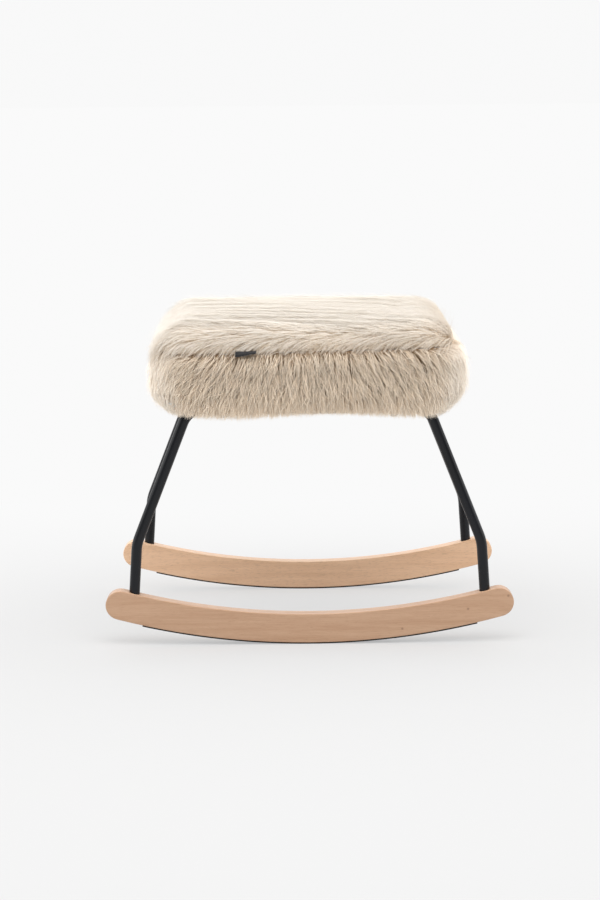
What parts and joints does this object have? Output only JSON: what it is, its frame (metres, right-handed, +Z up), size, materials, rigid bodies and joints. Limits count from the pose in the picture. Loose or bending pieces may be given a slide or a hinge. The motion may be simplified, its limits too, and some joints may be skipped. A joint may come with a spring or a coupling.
{
  "type": "rocking footstool",
  "caption": "Fur covered footstool on bent tube hoops that stand in curved wooden rockers, so that it rocks to and fro under the feet.",
  "frame": {"origin": "on the floor, midway between the two rockers and at the middle of their length", "axes": "+X along the rockers, which is the way the stool rocks, +Y from the front rocker to the rear one, +Z up"},
  "size_m": [0.58, 0.42, 0.4646],
  "materials": {
    "beech": "satin",
    "black_steel": "satin",
    "zinc_steel": "satin",
    "tread_rubber": "matte",
    "plywood": "matte",
    "foam": "matte",
    "wadding_fibre": "matte",
    "fur": "matte",
    "dust_cloth": "matte",
    "tab_cloth": "satin"
  },
  "bodies": {
    "root": {"rocker_front": "beech", "rocker_rear": "beech", "leg_hoop_front": "black_steel", "leg_hoop_rear": "black_steel", "cross_tube_left": "black_steel", "cross_tube_right": "black_steel", "foot_plugs": "zinc_steel", "foot_bolts": "zinc_steel", "foot_washers": "zinc_steel", "seat_bolts": "zinc_steel", "saddle_washers": "zinc_steel", "tee_nuts": "zinc_steel", "staples": "zinc_steel", "tread_front": "tread_rubber", "tread_rear": "tread_rubber", "seat_board": "plywood", "foam_core": "foam", "wadding": "wadding_fibre", "fur_top": "fur", "fur_band": "fur", "dust_cover": "dust_cloth", "blank_tab": "tab_cloth"}
  },
  "joints": []
}
